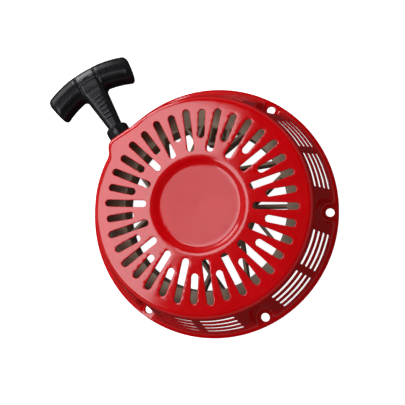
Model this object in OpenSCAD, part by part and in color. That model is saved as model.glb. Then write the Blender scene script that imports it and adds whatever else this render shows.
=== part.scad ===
// Recoil starter for a small four-stroke engine.
// The mounting plane is z = 0, the crankshaft axis is the Z axis, and the vented face looks along +Z.
// A bolt hole lies on the +X axis.

/* [Housing] */
// Outside radius of the bolting flange
flange_r = 108; // [107:0.5:110]
// Thickness of the pressed sheet
sheet_t = 1.5; // [1.2:0.1:1.8]
// Height of the vented face above the mounting plane
face_z = 44; // [43:0.5:46]
// Radius where the vented face turns into the side wall
face_r = 87.5; // [87:0.5:88.5]
// Radius of the side wall where it meets the flange
foot_r = 104; // [103:0.5:105]
// Radius of the recess in the middle of the vented face
recess_r = 38; // [37:0.5:38.5]
// Depth of that recess
recess_d = 3; // [2:0.5:3.5]

/* [Bolts] */
// Number of bolt holes
bolt_count = 6; // [6:6:6]
// Radius of the bolt circle
bolt_circle_r = 101; // [100.5:0.5:101.5]
// Diameter of each bolt hole
bolt_hole_d = 7; // [6.6:0.1:7.5]
// Radius of the spanner pocket around each bolt
bolt_pocket_r = 11; // [10:0.5:11]

/* [Vents] */
// Number of long slots, with a short slot between each two
slot_count = 18; // [16:1:18]
// Width of a slot
slot_w = 5.5; // [4.5:0.1:5.8]
// Radii of the two ends of a long slot
long_slot = [42.9, 77.9];
// Radii of the two ends of a short slot
short_slot = [53.5, 76.8];
// Number of louvre rows in the side wall
louvre_rows = 4; // [3:1:4]
// Height of a louvre
louvre_h = 4.6; // [3:0.2:5]
// Distance from one louvre row to the next
louvre_pitch = 9; // [8.5:0.1:9.1]

/* [Pull] */
// Direction in which the rope leaves, about Z from the X axis
pull_azimuth = 122.5; // [121:0.5:124]
// Sideways distance from the crankshaft axis to the rope
rope_offset = 32.7; // [32:0.1:33.2]
// Height of the rope at its outlet
rope_z = 21; // [20:0.5:22]
// Diameter of the starter rope
rope_d = 5; // [4.5:0.1:5]
// Distance from the crankshaft axis to the outlet's flat seat
seat_x = 87.5; // [87:0.1:88]

/* [Grip] */
// Radius of the grip's arched centreline
grip_arc_r = 81; // [78:1:84]
// Half of the angle that the arch spans
grip_half_angle = 28.5; // [26:0.5:31]
// Height of the grip's section along the pull
grip_h = 25; // [22:0.5:26]
// Thickness of the grip's section
grip_t = 20; // [18:0.5:20.5]
// Twist of the grip about the rope at rest
grip_twist = 9; // [6:0.5:10]
// Swing of the grip to its left at rest, about its seat in the guide
grip_swing = 2; // [0:0.5:2.5]

/* [Reel] */
// Outside radius of the reel's flanges
reel_r = 86; // [84:0.5:86]
// Radius of the groove's floor
groove_r = 70; // [69.5:0.5:70.5]
// Radius of the hub drum that holds the mainspring
drum_r = 43; // [42.5:0.1:43.2]
// Thickness of the reel's slanting ribs
rib_t = 2.4; // [2:0.1:3]
// Bearings of the ribs that lean clockwise, at the middle of the reel's window
ribs_clockwise = [36.5, 67, 97, 127, 156, 275, 307, 337.5];
// Bearings of the ribs that lean anticlockwise
ribs_anticlockwise = [19.5, 101, 198, 281.5];
// Bearing of the rib that stands square to the rim
rib_square = 2; // [0:1:4]
// Bearing of the pocket for the rope's knot
knot_bearing = 80; // [78:1:82]

/* [Clutch] */
// Radius at which the two pawls pivot
pawl_pivot_r = 26; // [25:0.5:27]
// Bearing of the first pawl's pivot
pawl_bearing = 45; // [30:5:60]

/* [Hidden] */
$fn = 96;

rope_r = rope_d / 2;
sector = 360 / bolt_count;
louvre_z0 = 7.5;
louvre_gap_deg = 10.5;
louvre_bridge_deg = 1.8;
disc_z = face_z - recess_d;

// Outlet: a flat seat with a flank, in the pull frame (x along the pull, y to the grip's left)
flat_y0 = 17;
flat_y1 = 40.5;
flank = [[76, 45.8], [66.5, 57.2]];

// Rope guide, along the pull from the crankshaft axis
guide_tip_x = 81.6;
guide_rim_x = 102.6;
guide_cup_r = 10;
guide_mouth_r = 8.6;
guide_mouth_x = 98.6;
guide_hole_r = 6.5;
guide_spigot_r = 6.4;
guide_bore_r = 3;
guide_neck_r = 5.6;
clip_x = 84.3;
clip_t = 1;
clip_r = 7.2;

// Reel heights
reel_low_z = 8.6;
reel_top_z = 26.2;
rim_flange_t = 1.7;
drum_low_z = 16;
drum_top_z = 38;
drum_wall = 2.5;
hub_z = [21, 24.5];
rib_z = [12, 25.5];
window_r = 68;
window_mid_r = 60;
lean = 27;
knot_z = 18.6;

// Spindle and clutch stack, from the top down
spindle_r = 8;
spindle_low_z = 9;
bush_r = 10;
boss_r = 14;
boss_low_z = 12;
running_gap = 0.05;
screw_r = 3;
pawl_z = [6.4, 10.9];
pawl_boss_r = 6;
pawl_boss_low_z = 11.4;
pin_r = 3;
guide_plate_z = [4.2, 6];
guide_plate_r = 19;
guide_plate_gap = 0.3;
washer_z = [3.1, 4.1];
// Bearing of each cam finger from its pawl's pivot
finger_bearing = -68;
finger_top_z = 10.2;

// Grip frame: x along the pull, origin where the neck begins
neck_x0 = 99;
neck_x1 = 144;
grip_mid_x = 153.6;
grip_arc_x = grip_mid_x - grip_arc_r;
knot_x = 152;
knot_r = 3.9;
cap_half_angle = 5.9;
cap_floor_r = grip_arc_r + 2;

function unit(v) = v / norm(v);
function turn(a, b) = ((b - a + 540) % 360) - 180;

// Points that round the corner b between a and c with radius r
function fillet(a, b, c, r, n = 6) =
    let (u = unit(a - b), v = unit(c - b), half = acos(u * v) / 2)
    let (p = b + u * (r / tan(half)), q = b + v * (r / tan(half)))
    let (o = b + unit(u + v) * (r / sin(half)))
    let (a0 = atan2(p[1] - o[1], p[0] - o[0]), a1 = atan2(q[1] - o[1], q[0] - o[0]))
    [for (i = [0:n]) let (w = a0 + turn(a0, a1) * i / n) o + r * [cos(w), sin(w)]];

// Points of an ellipse with half axes a and b, flattened at its sides by the power n
function oval(a, b, n = 2.4, steps = 28) =
    [for (i = [0:steps - 1])
        let (w = 360 * i / steps, c = cos(w), s = sin(w))
        [a * sign(c) * pow(abs(c), 2 / n), b * sign(s) * pow(abs(s), 2 / n)]];

// A closed tube of radius r around a list of points
module tube(path, r, sides = 8) {
    last = len(path) - 1;
    dirs = [for (i = [0:last]) unit(path[min(i + 1, last)] - path[max(i - 1, 0)])];
    up = [0, 0, 1];
    rings = [for (i = [0:last])
        let (side = unit(cross(dirs[i], abs(dirs[i][2]) > 0.9 ? [1, 0, 0] : up)))
        let (top = cross(side, dirs[i]))
        for (k = [0:sides - 1]) path[i] + r * (side * cos(360 * k / sides) + top * sin(360 * k / sides))];
    walls = [for (i = [0:last - 1]) for (k = [0:sides - 1])
        let (a = i * sides + k, b = i * sides + (k + 1) % sides)
        each [[a, b, b + sides], [a, b + sides, a + sides]]];
    caps = [[for (k = [0:sides - 1]) sides - 1 - k], [for (k = [0:sides - 1]) last * sides + k]];
    polyhedron(rings, concat(walls, caps));
}

// A ring of rectangular section
module ring(r_in, r_out, z0, z1) {
    translate([0, 0, z0])
        difference() {
            cylinder(r = r_out, h = z1 - z0);
            translate([0, 0, -1]) cylinder(r = r_in, h = z1 - z0 + 2);
        }
}

module at_pull() { rotate([0, 0, pull_azimuth]) children(); }

// Turns the Z axis onto the rope's line
module at_rope() { at_pull() translate([0, rope_offset, rope_z]) rotate([0, 90, 0]) children(); }

// Places the grip's arc centre on the rope's line, with the arch in the XY plane
module at_grip() {
    at_pull()
        translate([neck_x0, rope_offset, rope_z])
            rotate([0, 0, grip_swing])
                translate([-neck_x0, 0, 0])
                    rotate([grip_twist, 0, 0])
                        children();
}

// ---------------------------------------------------------------- housing

// Solid under the pressed surface; inset moves every wall inwards by the sheet thickness
module housing_envelope(inset = 0) {
    side = inset * 1.09;
    low = inset > 0 ? -1 : 0;
    foot_z = inset > 0 ? -1 : sheet_t;
    slope = (foot_r - face_r) / (face_z - sheet_t);
    foot = [foot_r - side - (inset > 0 ? -slope * (sheet_t + 1) : 0), foot_z];
    shoulder = [face_r - side + slope * inset, face_z - inset];
    lip = [recess_r + inset, face_z - inset];
    floor_edge = [recess_r - 5 + inset, disc_z - inset];
    rotate_extrude()
        polygon(concat(
            [[0, low]],
            inset > 0 ? [] : [[flange_r, 0], [flange_r, sheet_t]],
            inset > 0 ? [foot] : fillet([flange_r, sheet_t], foot, shoulder, 2.5),
            fillet(foot, shoulder, lip, 5 - inset),
            fillet(shoulder, lip, floor_edge, 1.5),
            fillet(lip, floor_edge, [0, disc_z - inset], 2),
            [[0, disc_z - inset]]));
    at_pull() outlet_block(inset);
}

// The pressed-out block that carries the rope guide
module outlet_block(inset) {
    low = inset > 0 ? -1 : 0;
    edge = 3;
    face = seat_x - inset;
    corners = [[50, flat_y0 - 6], [face, flat_y0 - 6], [face, flat_y1 - inset],
               flank[0] - [inset, inset], flank[1] - [inset, inset], [50, 56]];
    difference() {
        translate([0, 0, low])
            linear_extrude(face_z - inset - low)
                polygon(concat(
                    [corners[0], corners[1]],
                    fillet(corners[1], corners[2], corners[3], 4 - inset),
                    [corners[3], corners[4], corners[5]]));
        for (tilt = [30, 60])
            for (cut = [[face, 30, 0], [80 - inset, 44.2 - inset, 62.5], [71.2 - inset, 51.5 - inset, 50.2]])
                translate([cut[0], cut[1], face_z - inset])
                    rotate([0, 0, cut[2]])
                        translate([-edge * (1 - sin(tilt) / (sin(tilt) + cos(tilt) - 0.366)), 0, 0])
                            rotate([0, tilt, 0])
                                translate([0, -40, 0]) cube([40, 80, 40]);
    }
}

// Air around the bolts and in front of the rope outlet; inset moves its walls inwards
module housing_pockets(inset = 0) {
    low = inset > 0 ? -2 : sheet_t;
    for (i = [0:bolt_count - 1])
        rotate([0, 0, i * sector])
            translate([bolt_circle_r, 0, low])
                cylinder(r = bolt_pocket_r + inset, h = face_z);
    at_pull()
        translate([seat_x - inset, flat_y0 - inset, low])
            cube([40, flat_y1 + 6 - flat_y0 + 2 * inset, face_z]);
}

module slot_cut(ends) {
    translate([0, 0, disc_z - 4])
        linear_extrude(12) {
            translate([ends[0] + slot_w / 2, -slot_w / 2]) square([ends[1] - ends[0] - slot_w, slot_w]);
            translate([ends[0] + slot_w / 2, 0]) circle(d = slot_w);
            translate([ends[1] - slot_w / 2, 0]) circle(d = slot_w);
        }
}

// One group of louvres, from bearing a0 to a1
module louvre_group(a0, a1) {
    for (row = [0:louvre_rows - 1])
        rotate([0, 0, a0])
            rotate_extrude(angle = a1 - a0)
                translate([80, louvre_z0 + row * louvre_pitch - louvre_h / 2])
                    square([24 + (foot_r - 100), louvre_h]);
}

module housing() {
    outlet_sector = 2;
    mid = sector / 2;
    color("crimson")
        difference() {
            difference() {
                housing_envelope();
                housing_pockets();
            }
            difference() {
                housing_envelope(sheet_t);
                housing_pockets(sheet_t);
            }
            for (i = [0:bolt_count - 1])
                rotate([0, 0, i * sector])
                    translate([bolt_circle_r, 0, -1]) cylinder(d = bolt_hole_d, h = 5);
            for (i = [0:slot_count - 1]) {
                rotate([0, 0, i * 360 / slot_count]) slot_cut(long_slot);
                rotate([0, 0, (i + 0.5) * 360 / slot_count]) slot_cut(short_slot);
            }
            for (i = [0:bolt_count - 1])
                if (i != outlet_sector) {
                    louvre_group(i * sector + louvre_gap_deg, i * sector + mid - louvre_bridge_deg);
                    louvre_group(i * sector + mid + louvre_bridge_deg, (i + 1) * sector - louvre_gap_deg);
                }
            at_rope() translate([0, 0, seat_x - 10]) cylinder(r = guide_hole_r, h = 20);
        }
}

// ---------------------------------------------------------------- spindle and its screw

module spindle_plate() {
    color("silver") ring(spindle_r, 24, disc_z - sheet_t - 1.5, disc_z - sheet_t);
}

module spindle() {
    color("gainsboro")
        difference() {
            union() {
                translate([0, 0, spindle_low_z]) cylinder(r = spindle_r, h = disc_z - sheet_t - spindle_low_z);
                translate([0, 0, 34]) cylinder(r = 10.5, h = disc_z - sheet_t - 1.5 - 34);
            }
            translate([0, 0, spindle_low_z - 1]) cylinder(r = screw_r, h = 18);
            // Slot that takes the inner end of the mainspring
            translate([6.5, -1.2, 26]) cube([5, 2.4, 12]);
        }
}

module center_screw() {
    color("silver")
        union() {
            translate([0, 0, 1.9]) cylinder(r = 8, h = 1.2);
            translate([0, 0, 0.4]) cylinder(r = 5.2, h = 1.6, $fn = 6);
            translate([0, 0, 3]) cylinder(r = screw_r, h = 20);
        }
}

module thrust_washer() {
    color("silver") ring(screw_r, 9, washer_z[0], washer_z[1]);
}

// ---------------------------------------------------------------- rope outlet

module rope_guide() {
    color([0.08, 0.08, 0.09])
        at_rope()
            rotate_extrude()
                polygon([
                    [guide_bore_r + 1.2, guide_tip_x],
                    [guide_spigot_r - 0.6, guide_tip_x],
                    [guide_spigot_r, guide_tip_x + 0.6],
                    [guide_spigot_r, clip_x],
                    [guide_neck_r, clip_x],
                    [guide_neck_r, clip_x + clip_t],
                    [guide_spigot_r, clip_x + clip_t],
                    [guide_spigot_r, seat_x],
                    [guide_cup_r - 0.8, seat_x],
                    [guide_cup_r, seat_x + 0.8],
                    [guide_cup_r, guide_rim_x - 1],
                    [guide_cup_r - 1, guide_rim_x],
                    [guide_mouth_r, guide_rim_x],
                    [guide_mouth_r - 0.6, guide_mouth_x],
                    [guide_bore_r + 1.2, guide_mouth_x],
                    [guide_bore_r, guide_mouth_x - 2],
                    [guide_bore_r, guide_tip_x + 2]]);
}

module guide_clip() {
    color("silver")
        at_rope()
            difference() {
                ring(guide_neck_r, clip_r, clip_x, clip_x + clip_t);
                translate([-3, 0, clip_x - 1]) cube([6, 12, clip_t + 2]);
            }
}

// Rope from the reel's groove through the guide to the seat of the grip
module rope_feed() {
    wound_r = groove_r + rope_r + 0.2;
    guide_end = [guide_tip_x - 1, rope_offset];
    reach = norm(guide_end);
    bearing = atan2(guide_end[1], guide_end[0]) + acos(wound_r / reach);
    tangent = wound_r * [cos(bearing), sin(bearing)];
    start = tangent + (guide_end - tangent) * 0.6;
    color("darkkhaki")
        at_pull()
            tube([
                [start[0], start[1], rope_z - 0.4],
                [(start[0] + guide_end[0]) / 2 - 0.4, (start[1] + guide_end[1]) / 2, rope_z - 0.2],
                [guide_end[0] - 0.9, guide_end[1], rope_z],
                [guide_end[0] + 3, guide_end[1], rope_z],
                [guide_mouth_x - 0.5, rope_offset, rope_z]], rope_r - 0.1, 10);
}

// ---------------------------------------------------------------- reel

module rib(bearing, tilt) {
    reach_in = 21.2;
    reach_out = 9.6;
    rotate([0, 0, bearing])
        translate([window_mid_r, 0, rib_z[0]])
            rotate([0, 0, tilt])
                translate([-reach_in, -rib_t / 2, 0])
                    cube([reach_in + reach_out, rib_t, rib_z[1] - rib_z[0]]);
}

// Rim with the rope's groove; the hub, the ribs and the rim are one moulding
module reel_rim() {
    color([0.36, 0.32, 0.28])
        difference() {
            union() {
                ring(window_r, groove_r, reel_low_z, reel_top_z);
                ring(window_r, reel_r, reel_low_z, reel_low_z + rim_flange_t);
                ring(window_r + 1.2, reel_r, reel_top_z - rim_flange_t, reel_top_z);
            }
            knot_hole();
        }
}

// Hub: the drum round the mainspring, its web, the bearing boss and the two pawl bosses
module reel_hub() {
    color([0.38, 0.34, 0.30])
        difference() {
            union() {
                ring(drum_r - drum_wall, drum_r, drum_low_z, drum_top_z);
                ring(boss_r - 1, drum_r - drum_wall / 2, hub_z[0], hub_z[1]);
                ring(bush_r, boss_r, boss_low_z, hub_z[1] + 2);
                for (side = [0, 180])
                    rotate([0, 0, pawl_bearing + side])
                        translate([pawl_pivot_r, 0, pawl_boss_low_z])
                            cylinder(r = pawl_boss_r, h = hub_z[1] - pawl_boss_low_z);
            }
            for (side = [0, 180])
                rotate([0, 0, pawl_bearing + side])
                    translate([pawl_pivot_r, 0, 5]) cylinder(r = pin_r, h = 15);
        }
}

// Slanting ribs between the hub and the rim, and the pocket for the rope's knot
module reel_ribs() {
    color([0.34, 0.30, 0.26])
        difference() {
            intersection() {
                ring(drum_r, window_r, rib_z[0], rib_z[1]);
                union() {
                    for (bearing = ribs_clockwise) rib(bearing, -lean);
                    for (bearing = ribs_anticlockwise) rib(bearing, lean);
                    rib(rib_square, 0);
                    rotate([0, 0, knot_bearing])
                        translate([52, -8.5, rib_z[0]]) cube([17, 17, rib_z[1] - rib_z[0]]);
                }
            }
            rotate([0, 0, knot_bearing]) translate([54, -6.5, rib_z[0] + 2]) cube([12.5, 13, 20]);
            knot_hole();
        }
}

// Hole from the knot pocket to the groove
module knot_hole() {
    rotate([0, 0, knot_bearing]) translate([60, 0, knot_z]) rotate([0, 90, 0]) cylinder(r = 2.8, h = 20);
}

module reel_bush() {
    color("peru") ring(spindle_r + running_gap, bush_r, boss_low_z, hub_z[1] + 2);
}

// Flat coil spring, wound in the drum
module mainspring() {
    turns = 8;
    steps = 20;
    strip = 0.6;
    r0 = 12.5;
    r1 = drum_r - drum_wall - 0.6;
    spiral = function(w, side) (r0 + (r1 - r0) * pow(w, 0.72) + side) * [cos(360 * turns * w), sin(360 * turns * w)];
    count = turns * steps;
    color("slategray")
        translate([0, 0, 27.5]) {
            linear_extrude(9.5)
                polygon(concat(
                    [for (i = [0:count]) spiral(i / count, 0)],
                    [for (i = [count:-1:0]) spiral(i / count, strip)]));
        }
}

// Turns of rope in the groove, as one closed ring
module rope_wound() {
    low = reel_low_z + rim_flange_t + 0.4;
    high = reel_top_z - rim_flange_t - 0.4;
    color("darkkhaki") ring(groove_r + 0.05, groove_r + 0.05 + rope_d, low, high);
}

module rope_anchor_knot() {
    color("darkkhaki")
        rotate([0, 0, knot_bearing])
            translate([60.5, 0, knot_z]) {
                sphere(r = 4.4);
                translate([2, 0, 0]) rotate([0, 90, 0]) cylinder(r = 2.6, h = 7.4);
            }
}

module pawl_pins() {
    color("silver")
        for (side = [0, 180])
            rotate([0, 0, pawl_bearing + side])
                translate([pawl_pivot_r, 0, 0]) {
                    translate([0, 0, 5]) cylinder(r = pin_r, h = 14);
                    translate([0, 0, 4.8]) cylinder(r = 4.4, h = 1.3);
                }
}

// Torsion spring around a pawl's boss
module pawl_spring(side) {
    turns = 2.5;
    steps = 16;
    wire = 0.8;
    coil = [for (i = [0:turns * steps])
        let (w = 360 * i / steps)
        [7 * cos(w), 7 * sin(w), 12.3 + i * 1.15 / steps]];
    color("lightsteelblue")
        rotate([0, 0, pawl_bearing + side])
            translate([pawl_pivot_r, 0, 0])
                tube(concat([[7, -7, 12.3]], coil, [[-7, -6.5, 15.3]]), wire / 2, 6);
}

// ---------------------------------------------------------------- clutch

module pawl(side) {
    color("dimgray")
        rotate([0, 0, pawl_bearing + side])
            difference() {
                translate([0, 0, pawl_z[0]])
                    linear_extrude(pawl_z[1] - pawl_z[0]) {
                        translate([pawl_pivot_r, 0]) circle(r = 5.6);
                        polygon([
                            [pawl_pivot_r - 5.4, 0],
                            [pawl_pivot_r - 4, -12],
                            [pawl_pivot_r - 7, -20],
                            [pawl_pivot_r - 8, -26],
                            [pawl_pivot_r - 5, -27],
                            [pawl_pivot_r + 1, -20],
                            [pawl_pivot_r + 5, -10],
                            [pawl_pivot_r + 5.5, 0]]);
                    }
                translate([pawl_pivot_r, 0, 0]) cylinder(r = pin_r + running_gap, h = 30);
            }
}

// Cam plate that pushes the pawls out
module ratchet_guide() {
    color("darkgray")
        difference() {
            union() {
                translate([0, 0, guide_plate_z[0]])
                    cylinder(r = guide_plate_r, h = guide_plate_z[1] - guide_plate_z[0]);
                translate([0, 0, guide_plate_z[0]]) cylinder(r = 8.4, h = 4.4);
                for (side = [0, 180])
                    rotate([0, 0, pawl_bearing + side + finger_bearing]) {
                        translate([14, -4, guide_plate_z[0]])
                            cube([10.5, 8, guide_plate_z[1] - guide_plate_z[0]]);
                        translate([19, -2.5, guide_plate_z[0]]) cube([5, 5, finger_top_z - guide_plate_z[0]]);
                    }
            }
            cylinder(r = screw_r + guide_plate_gap, h = 30);
        }
}

module friction_spring() {
    color("lightsteelblue")
        translate([0, 0, guide_plate_z[1] + 1.2])
            rotate([0, 0, 40])
                rotate_extrude(angle = 300) translate([9.3, 0]) circle(r = 0.7, $fn = 16);
}

// ---------------------------------------------------------------- grip

module grip_section() { polygon(oval(grip_h / 2, grip_t / 2)); }

module grip() {
    color([0.09, 0.09, 0.10])
        at_grip()
            difference() {
                union() {
                    translate([grip_arc_x, 0, 0])
                        rotate([0, 0, -grip_half_angle])
                            rotate_extrude(angle = 2 * grip_half_angle)
                                translate([grip_arc_r, 0]) grip_section();
                    hull() {
                        translate([neck_x0, -5.6, -5.4]) cube([1, 11.2, 10.8]);
                        translate([neck_x1, -10.6, -8.6]) cube([1, 21.2, 17.2]);
                    }
                }
                translate([neck_x0 - 1, 0, 0]) rotate([0, 90, 0]) cylinder(r = rope_r + 0.3, h = 60);
                translate([knot_x - 5.5, 0, 0]) rotate([0, 90, 0]) cylinder(r = 6.5, h = 30);
                cap_wedge(cap_half_angle + 0.2, cap_floor_r);
            }
}

// Wedge of the arch outside radius r, within the given half angle
module cap_wedge(half, r) {
    translate([grip_arc_x, 0, 0])
        rotate([0, 0, -half])
            rotate_extrude(angle = 2 * half)
                translate([r, -grip_t]) square([20, 2 * grip_t]);
}

module grip_cap() {
    color([0.20, 0.21, 0.22])
        at_grip()
            intersection() {
                cap_wedge(cap_half_angle, cap_floor_r + 0.2);
                translate([grip_arc_x, 0, 0])
                    rotate([0, 0, -cap_half_angle])
                        rotate_extrude(angle = 2 * cap_half_angle)
                            translate([grip_arc_r, 0]) grip_section();
            }
}

module grip_washer() {
    color("silver")
        at_grip() translate([knot_x - 5.5, 0, 0]) rotate([0, 90, 0]) ring(rope_r + 0.1, 6.2, 0, 1.2);
}

module grip_knot() {
    color("darkkhaki") at_grip() translate([knot_x - 0.4, 0, 0]) sphere(r = knot_r);
}

// Rope inside the grip, from the guide's seat to the knot
module rope_lead() {
    color("darkkhaki")
        at_grip()
            translate([neck_x0, 0, 0]) rotate([0, 90, 0]) cylinder(r = rope_r, h = knot_x - 0.45 - knot_r - neck_x0);
}

housing();
spindle_plate();
spindle();
center_screw();
thrust_washer();
rope_guide();
guide_clip();
rope_feed();
reel_rim();
reel_hub();
reel_ribs();
reel_bush();
mainspring();
rope_wound();
rope_anchor_knot();
pawl_pins();
pawl_spring(0);  // pawl_spring_a
pawl_spring(180);  // pawl_spring_b
pawl(0);  // pawl_a
pawl(180);  // pawl_b
ratchet_guide();
friction_spring();
grip();
grip_cap();
grip_washer();
grip_knot();
rope_lead();
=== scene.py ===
import math

import bmesh
import bpy
import numpy as np
from mathutils import Matrix, Vector
from mathutils.geometry import delaunay_2d_cdt


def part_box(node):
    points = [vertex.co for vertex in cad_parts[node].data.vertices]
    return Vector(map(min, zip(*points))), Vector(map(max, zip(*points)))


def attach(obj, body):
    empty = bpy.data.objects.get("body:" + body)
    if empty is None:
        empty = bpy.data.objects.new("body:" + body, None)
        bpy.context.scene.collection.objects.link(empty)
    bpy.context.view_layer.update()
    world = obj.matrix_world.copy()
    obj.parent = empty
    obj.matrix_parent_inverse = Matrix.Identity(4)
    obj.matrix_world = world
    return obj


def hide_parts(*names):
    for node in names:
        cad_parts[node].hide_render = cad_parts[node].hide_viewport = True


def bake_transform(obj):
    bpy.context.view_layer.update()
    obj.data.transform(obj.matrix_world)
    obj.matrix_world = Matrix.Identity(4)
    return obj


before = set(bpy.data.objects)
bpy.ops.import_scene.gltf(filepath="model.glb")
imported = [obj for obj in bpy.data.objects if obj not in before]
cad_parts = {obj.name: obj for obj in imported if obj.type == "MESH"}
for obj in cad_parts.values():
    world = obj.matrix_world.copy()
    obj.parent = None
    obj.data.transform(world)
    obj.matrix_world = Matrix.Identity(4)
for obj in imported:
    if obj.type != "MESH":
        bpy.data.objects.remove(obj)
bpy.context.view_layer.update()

# ---------------------------------------------------------------- table, light and camera
# The starter lies with its flange on a plain white table, face up, between soft panels at its
# left and behind it. The camera looks down on it from the front right.

scene = bpy.context.scene
scene.view_settings.view_transform = "Standard"
scene.view_settings.look = "None"


def node(tree, kind, **sockets):
    """A shader or geometry node, with its sockets given by name."""
    made = tree.nodes.new(kind)
    for name, value in sockets.items():
        name = name.replace("_", " ")
        if isinstance(value, bpy.types.NodeSocket):
            tree.links.new(value, made.inputs[name])
        else:
            made.inputs[name].default_value = value
    return made


table_mesh = bpy.data.meshes.new("table")
table_mesh.from_pydata([(-9, -9, 0), (9, -9, 0), (9, 9, 0), (-9, 9, 0)], [], [(0, 1, 2, 3)])
table = bpy.data.objects.new("table", table_mesh)
table.location.z = -0.0005
scene.collection.objects.link(table)
white = bpy.data.materials.new("white_table")
white.use_nodes = True
paint = white.node_tree.nodes["Principled BSDF"]
paint.inputs["Base Color"].default_value = (0.9, 0.9, 0.9, 1)
paint.inputs["Roughness"].default_value = 0.9
paint.inputs["Emission Color"].default_value = (1, 1, 1, 1)
paint.inputs["Emission Strength"].default_value = 0.95
table_mesh.materials.append(white)
table.visible_glossy = False
table.visible_diffuse = False

camera_data = bpy.data.cameras.new("camera")
camera_data.sensor_width = 36
camera_data.lens = 43.489
camera_data.clip_start = 0.01
camera_data.clip_end = 50
camera = bpy.data.objects.new("camera", camera_data)
scene.collection.objects.link(camera)
right = Vector((0.97140315, 0.04259974, -0.23358333))
up = Vector((-0.01392854, 0.99230315, 0.12304655))
back = right.cross(up)
camera.matrix_world = Matrix.Translation((0.0941996, -0.0427748, 0.4120081)) @ Matrix(
    (right, up, back)).transposed().to_4x4()
scene.camera = camera

world = bpy.data.worlds.new("studio")
world.use_nodes = True
scene.world = world
sky = world.node_tree
sky.nodes.clear()
direction = sky.nodes.new("ShaderNodeTexCoord")
split = node(sky, "ShaderNodeSeparateXYZ", Vector=direction.outputs["Generated"])
height = node(sky, "ShaderNodeMapRange", Value=split.outputs["Z"], From_Min=-1.0)
fade = sky.nodes.new("ShaderNodeValToRGB")
stops = ((0.40, 0.03), (0.54, 0.34), (0.76, 0.34), (0.90, 0.0))
while len(fade.color_ramp.elements) < len(stops):
    fade.color_ramp.elements.new(0.5)
for stop, (place, level) in zip(fade.color_ramp.elements, stops):
    stop.position = place
    stop.color = (level, level, level, 1)
sky.links.new(height.outputs["Result"], fade.inputs[0])
glow = node(sky, "ShaderNodeBackground", Color=fade.outputs[0])
sky.links.new(glow.outputs[0], sky.nodes.new("ShaderNodeOutputWorld").inputs["Surface"])


def soft_panel(name, centre, across, width, height, radiance, reflected=True):
    """A rectangular softbox that faces the starter, or straight down with its width along across."""
    data = bpy.data.lights.new(name, "AREA")
    data.shape = "RECTANGLE"
    data.size = width
    data.size_y = height
    data.energy = radiance * math.pi * width * height
    data.color = (1.0, 0.99, 1.04)
    panel = bpy.data.objects.new(name, data)
    scene.collection.objects.link(panel)
    if across is None:
        facing = Vector(centre).normalized()
        side = Vector((0, 0, 1)).cross(facing).normalized()
    else:
        facing = Vector((0, 0, 1))
        side = Vector(across).normalized()
    turn = Matrix((side, facing.cross(side), facing)).transposed().to_4x4()
    panel.matrix_world = Matrix.Translation(centre) @ turn
    panel.visible_glossy = reflected


soft_panel("panel_left", (-0.378, 0.045, 0.75), (-0.911, 0.411, 0), 0.33, 0.685, 5.2)
soft_panel("panel_behind", (-0.60, 0.62, 0.42), None, 0.6, 0.36, 6.0)
soft_panel("fill_above", (0.1, -0.1, 1.1), (1, 0, 0), 0.8, 0.8, 1.1, reflected=False)

# ---------------------------------------------------------------- housing
# One steel pressing in gloss red enamel, 1.5 mm thick at the flange and 1.2 mm above it. The slots
# and louvres are punched from outside, so their edges roll in. A pocket is pressed in round each of
# the six bolt holes.

MM = 0.001
SHEET = 1.5
GAUGE = 1.2
FACE_Z = 44.0
FACE_R = 87.5
FOOT_R = 104.0
FLANGE_R = 108.0
RECESS_R = 38.0
DISC_R = 33.0
DISC_Z = 41.35
DISH = 1.06
DISC_BACK_Z = 39.5
DISC_BACK_R = 30
FACE_DIP = 0.35
BOLT_R = 101.0
BOLT_HOLE_R = 3.5
POCKET_R = 8.3
POCKET_FLARE = 0.078
SLOT_HALF = 2.75
LONG_SLOT = (42.9, 77.9)
SHORT_SLOT = (53.5, 76.8)
LOUVRE_H = 5.3
LOUVRE_Z0 = 7.5
LOUVRE_PITCH = 9
PULL = math.radians(122.5)
ROPE_Y = 32.7
ROPE_Z = 21.0
SEAT_X = 87.5
SEAT_Y = (17, 46.5)
BLOCK_X0, BLOCK_Y0 = 62, 11
BLOCK_EDGE = 3.5
FLANK_Y = 40.5
FLANK = (5.3, 11.5)
WALL_SLOPE = (FOOT_R - FACE_R) / (FACE_Z - SHEET)


def fillet(a, b, c, radius, steps=8):
    """Points of the arc that rounds corner b between a and c."""
    a, b, c = (np.array(p, float) for p in (a, b, c))
    u, v = (a - b) / np.linalg.norm(a - b), (c - b) / np.linalg.norm(c - b)
    half_angle = math.acos(np.clip(u @ v, -1, 1)) / 2
    p, q = b + u * radius / math.tan(half_angle), b + v * radius / math.tan(half_angle)
    o = b + (u + v) / np.linalg.norm(u + v) * radius / math.sin(half_angle)
    w0, w1 = math.atan2(*(p - o)[::-1]), math.atan2(*(q - o)[::-1])
    turn = (w1 - w0 + 3 * math.pi) % (2 * math.pi) - math.pi
    return [tuple(o + radius * np.array((math.cos(w), math.sin(w))))
            for w in (w0 + turn * i / steps for i in range(steps + 1))]


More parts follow.
